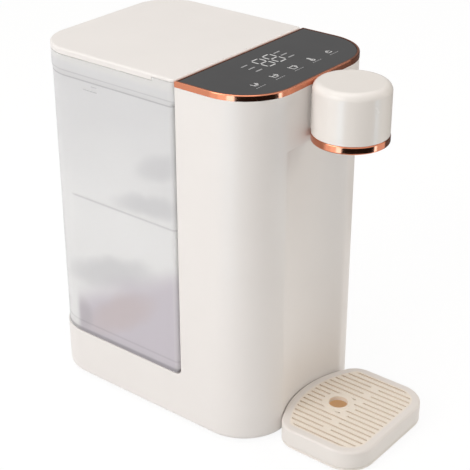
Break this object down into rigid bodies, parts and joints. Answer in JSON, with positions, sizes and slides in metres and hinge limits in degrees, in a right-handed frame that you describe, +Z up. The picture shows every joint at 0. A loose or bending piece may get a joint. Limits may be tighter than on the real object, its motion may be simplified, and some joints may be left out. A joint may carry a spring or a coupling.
{
  "type": "hot water dispenser",
  "caption": "Countertop hot water dispenser: front column with touch panel and round spout, lift-off clear tank with hinged lid behind it, loose drip tray with slotted grille.",
  "frame": {"origin": "middle of the footprint of dispenser and tray together, on the table", "axes": "+Z up, the spout and the tray face -Y, the tank is at +Y, +X is to the right of someone standing at the tray"},
  "size_m": [0.1594, 0.305, 0.3],
  "materials": {
    "white_shell": "satin",
    "copper_trim": "polished",
    "panel_glass": "gloss",
    "clear_tank": "clear",
    "clear_plastic": "translucent",
    "soft_rubber": "matt",
    "silicone": "matt",
    "dark_plastic": "matt",
    "grey_plastic": "matt",
    "steel": "brushed",
    "screw_steel": "plain",
    "aluminium": "plain",
    "circuit_board": "matt",
    "blue_plastic": "matt",
    "cable_grey": "matt",
    "magnet_metal": "plated",
    "tray_inside": "satin"
  },
  "bodies": {
    "housing": {"main_housing": "white_shell", "tank_platform": "white_shell", "base_cover": "white_shell", "column_rear_cover": "white_shell", "spout_head": "white_shell", "rubber_feet": "soft_rubber", "cord_gland": "soft_rubber", "base_screws": "screw_steel", "cover_screws": "screw_steel", "spout_screws": "screw_steel", "panel_trim": "copper_trim", "spout_ring": "copper_trim", "panel_frame": "dark_plastic", "digit_display": "dark_plastic", "pump_lid": "dark_plastic", "pump_volute": "dark_plastic", "pump_cradle": "dark_plastic", "thermal_cutouts": "dark_plastic", "level_sensor": "dark_plastic", "power_transformer": "dark_plastic", "heater_relay": "dark_plastic", "touch_glass": "panel_glass", "display_board": "circuit_board", "power_board": "circuit_board", "touch_contacts": "magnet_metal", "spout_plate": "grey_plastic", "water_nozzle": "grey_plastic", "tank_seat": "grey_plastic", "heater_lower_cap": "grey_plastic", "heater_upper_cap": "grey_plastic", "seat_seal": "silicone", "inlet_hose": "silicone", "pump_hose": "silicone", "outlet_hose": "silicone", "pump_motor": "steel", "heater_tube": "steel", "heater_clamps": "steel", "temperature_probe": "steel", "heat_sink": "aluminium", "mains_capacitor": "blue_plastic", "display_cable": "cable_grey"},
    "impeller": {"pump_impeller": "grey_plastic", "pump_shaft": "steel"},
    "tank": {"tank_shell": "clear_tank", "lid_hinge_pins": "steel", "valve_spring": "steel", "valve_body": "grey_plastic", "valve_guide": "grey_plastic", "inlet_filter": "grey_plastic", "valve_gasket": "silicone", "float_cage": "clear_plastic"},
    "lid": {"lid": "white_shell", "lid_seal": "silicone"},
    "plunger": {"valve_plunger": "grey_plastic", "valve_seal": "silicone"},
    "float": {"level_float": "grey_plastic", "float_magnet": "magnet_metal"},
    "tray": {"drip_tray": "tray_inside", "tray_feet": "soft_rubber"},
    "grille": {"tray_grille": "white_shell"}
  },
  "joints": [
    {"name": "tank_lift", "type": "slide", "parent": "housing", "child": "tank", "axis": [0, 0, 1], "range_m": [0, 0.15]},
    {"name": "lid_hinge", "type": "hinge", "parent": "tank", "child": "lid", "pos_m": [0, 0.1497, 0.2945], "axis": [-1, 0, 0], "range_deg": [0, 95]},
    {"name": "valve_travel", "type": "slide", "parent": "tank", "child": "plunger", "axis": [0, 0, 1], "range_m": [0, 0.003], "stiffness_N_per_m": 300, "springref_m": -0.002, "deforming": ["valve_spring"]},
    {"name": "float_travel", "type": "slide", "parent": "tank", "child": "float", "axis": [0, 0, 1], "range_m": [0, 0.011]},
    {"name": "tray_slide", "type": "slide", "parent": "housing", "child": "tray", "axis": [0, -1, 0], "range_m": [0, 0.12]},
    {"name": "grille_lift", "type": "slide", "parent": "tray", "child": "grille", "axis": [0, 0, 1], "range_m": [0, 0.03]},
    {"name": "impeller_spin", "type": "hinge", "parent": "housing", "child": "impeller", "pos_m": [0, -0.0171, 0.0245], "axis": [0, 1, 0], "continuous": true}
  ]
}
